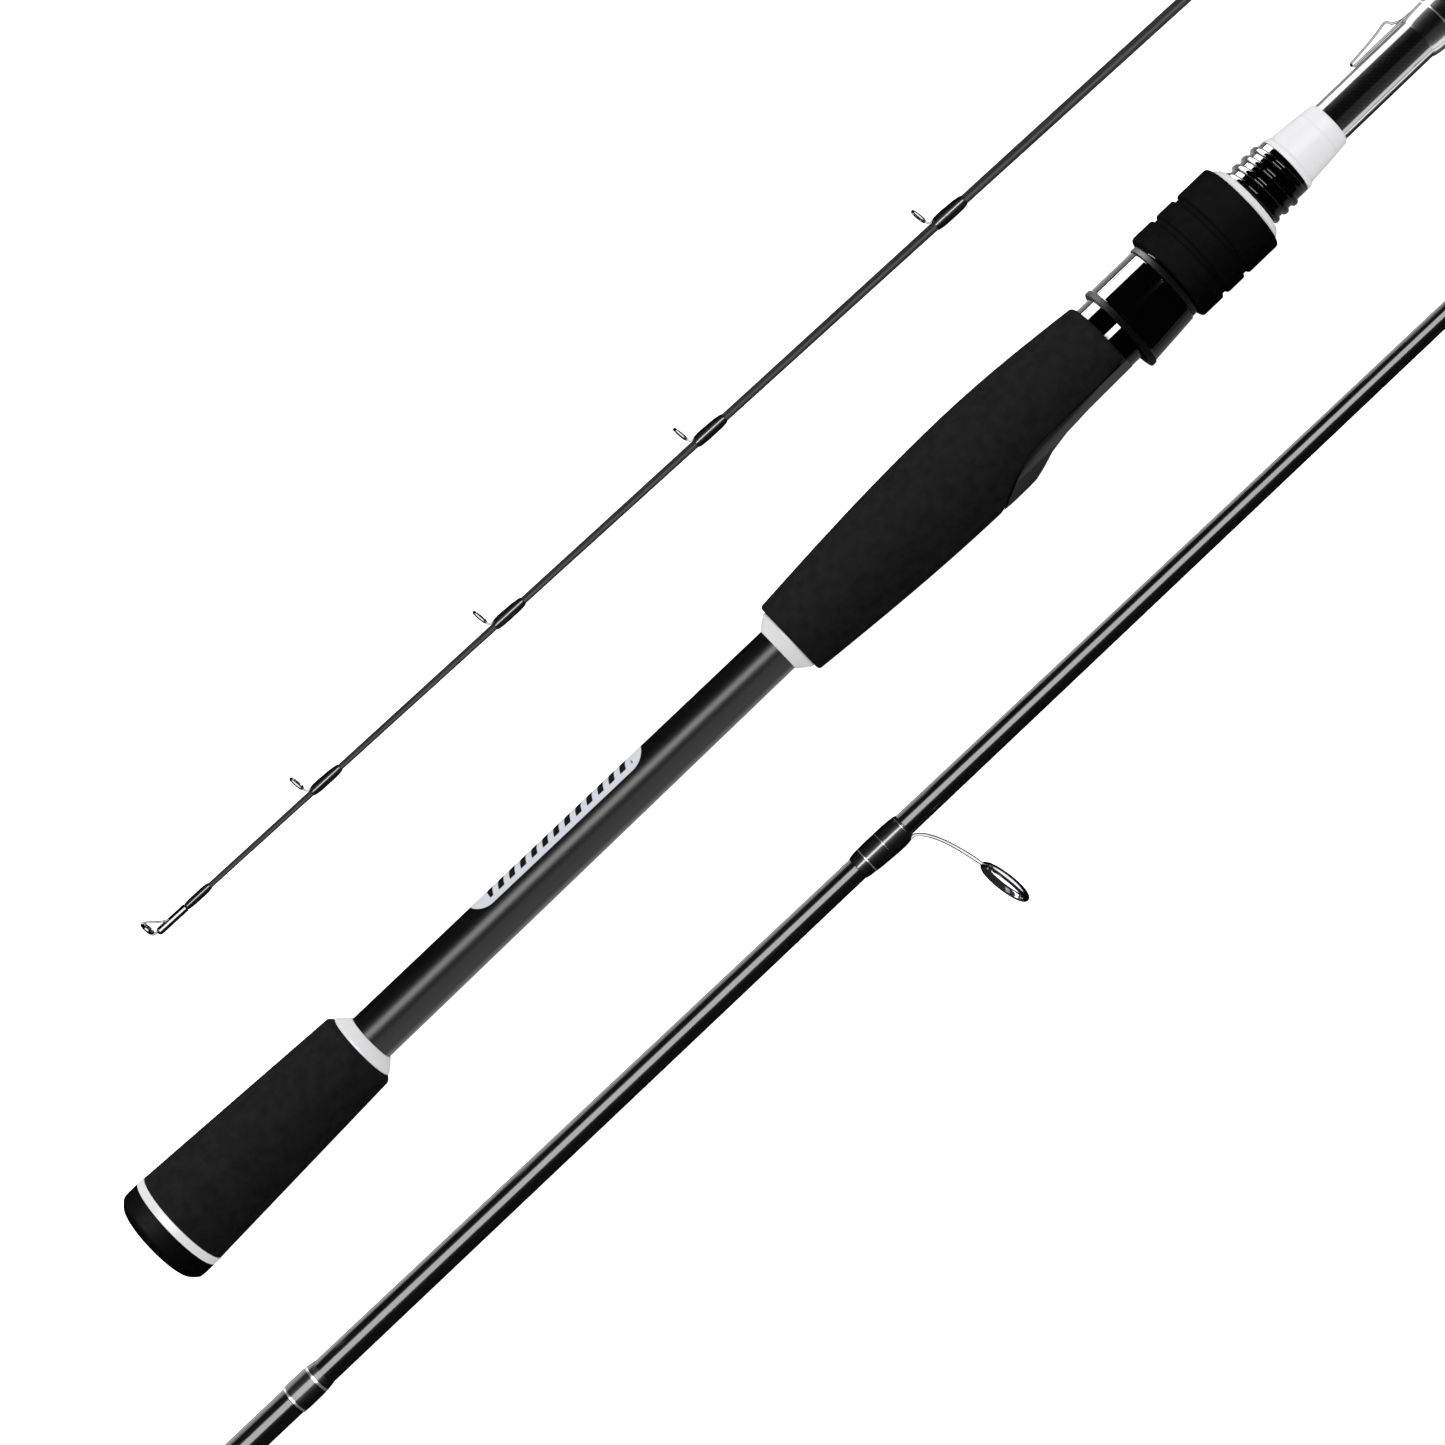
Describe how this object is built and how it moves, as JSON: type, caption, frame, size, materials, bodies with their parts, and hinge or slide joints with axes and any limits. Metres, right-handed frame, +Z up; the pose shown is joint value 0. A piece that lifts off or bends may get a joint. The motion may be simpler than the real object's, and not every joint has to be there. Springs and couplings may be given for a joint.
{
  "type": "spinning rod",
  "caption": "Travel spinning rod taken down into butt, middle and tip sections, with split foam grips, a screw-lock reel seat, spigot ferrules and wrapped line guides.",
  "frame": {"origin": "centre of the butt cap's flat end face, on the axis of the butt section", "axes": "+X along the butt section from butt to tip, +Z up from the surface the sections lie on; the reel and the guides of the butt section are on the -Y side"},
  "size_m": [0.7971, 0.1509, 0.028],
  "materials": {
    "foam": "fine closed-cell EVA foam, matt",
    "alloy_trim": "satin anodised",
    "pearl_trim": "pearl satin",
    "handle_carbon": "satin charcoal paint over carbon tube",
    "seat_moulding": "satin moulded composite, gloss on the barrel",
    "hood_gloss": "gloss black moulding",
    "nut_moulding": "satin moulding",
    "arbor": "rigid foam",
    "blank_gloss": "clear-coated carbon blank with a faint weave",
    "blank_satin": "satin carbon",
    "spigot_carbon": "ground carbon",
    "thread_wrap": "thread under gloss epoxy, with fine silver trim bands",
    "guide_steel": "polished stainless steel",
    "ring_ceramic": "polished dark ceramic"
  },
  "bodies": {
    "butt_section": {"butt_cap": "foam", "butt_ring": "alloy_trim", "rear_grip": "foam", "rear_grip_check": "alloy_trim", "handle_tube": "handle_carbon", "handle_joint_plug": "arbor", "front_grip_check": "alloy_trim", "front_grip": "foam", "reel_seat": "seat_moulding", "seat_thread": "hood_gloss", "seat_arbor_rear": "arbor", "seat_arbor_front": "arbor", "seat_sleeve": "pearl_trim", "butt_blank": "blank_gloss", "hook_keeper_wire": "guide_steel", "hook_keeper_wrap": "thread_wrap", "stripper_frame": "guide_steel", "stripper_insert": "ring_ceramic", "stripper_wraps": "thread_wrap", "butt_end_wrap": "thread_wrap", "butt_spigot": "spigot_carbon"},
    "hood": {"hood": "hood_gloss", "hood_collar": "nut_moulding"},
    "lock_nut": {"lock_nut_core": "nut_moulding", "lock_nut_grip": "foam", "lock_nut_ring": "pearl_trim"},
    "middle_section": {"middle_blank": "blank_gloss", "middle_sleeve": "blank_gloss", "middle_sleeve_wrap": "thread_wrap", "middle_end_wrap": "thread_wrap", "middle_spigot": "spigot_carbon", "middle_guide_1_frame": "guide_steel", "middle_guide_1_insert": "ring_ceramic", "middle_guide_1_wrap": "thread_wrap", "middle_guide_2_frame": "guide_steel", "middle_guide_2_insert": "ring_ceramic", "middle_guide_2_wrap": "thread_wrap"},
    "tip_section": {"tip_blank": "blank_satin", "tip_sleeve": "blank_gloss", "tip_sleeve_wrap": "thread_wrap", "tip_top_frame": "guide_steel", "tip_top_insert": "ring_ceramic", "tip_top_wrap": "thread_wrap", "tip_guide_wraps": "thread_wrap", "tip_guide_1_frame": "guide_steel", "tip_guide_2_frame": "guide_steel", "tip_guide_3_frame": "guide_steel", "tip_guide_4_frame": "guide_steel", "tip_guide_5_frame": "guide_steel", "tip_guide_6_frame": "guide_steel", "tip_guide_7_frame": "guide_steel", "tip_guide_1_insert": "ring_ceramic", "tip_guide_2_insert": "ring_ceramic", "tip_guide_3_insert": "ring_ceramic", "tip_guide_4_insert": "ring_ceramic", "tip_guide_5_insert": "ring_ceramic", "tip_guide_6_insert": "ring_ceramic", "tip_guide_7_insert": "ring_ceramic"}
  },
  "joints": [
    {"name": "hood_slide", "type": "slide", "parent": "butt_section", "child": "hood", "axis": [1, 0, 0], "range_m": [-0.004, 0.009]},
    {"name": "lock_nut_turn", "type": "hinge", "parent": "hood", "child": "lock_nut", "pos_m": [0.362, 0, 0], "axis": [1, 0, 0], "range_deg": [-464, 1045]},
    {"name": "middle_section_lift", "type": "slide", "parent": "butt_section", "child": "middle_section", "axis": [0, 0, 1], "range_m": [0, 0.15]},
    {"name": "tip_section_lift", "type": "slide", "parent": "butt_section", "child": "tip_section", "axis": [0, 0, 1], "range_m": [0, 0.15]}
  ],
  "couplings": [
    {"joint": "hood_slide", "follows": "lock_nut_turn", "m_per_rad": 0.00049338}
  ]
}
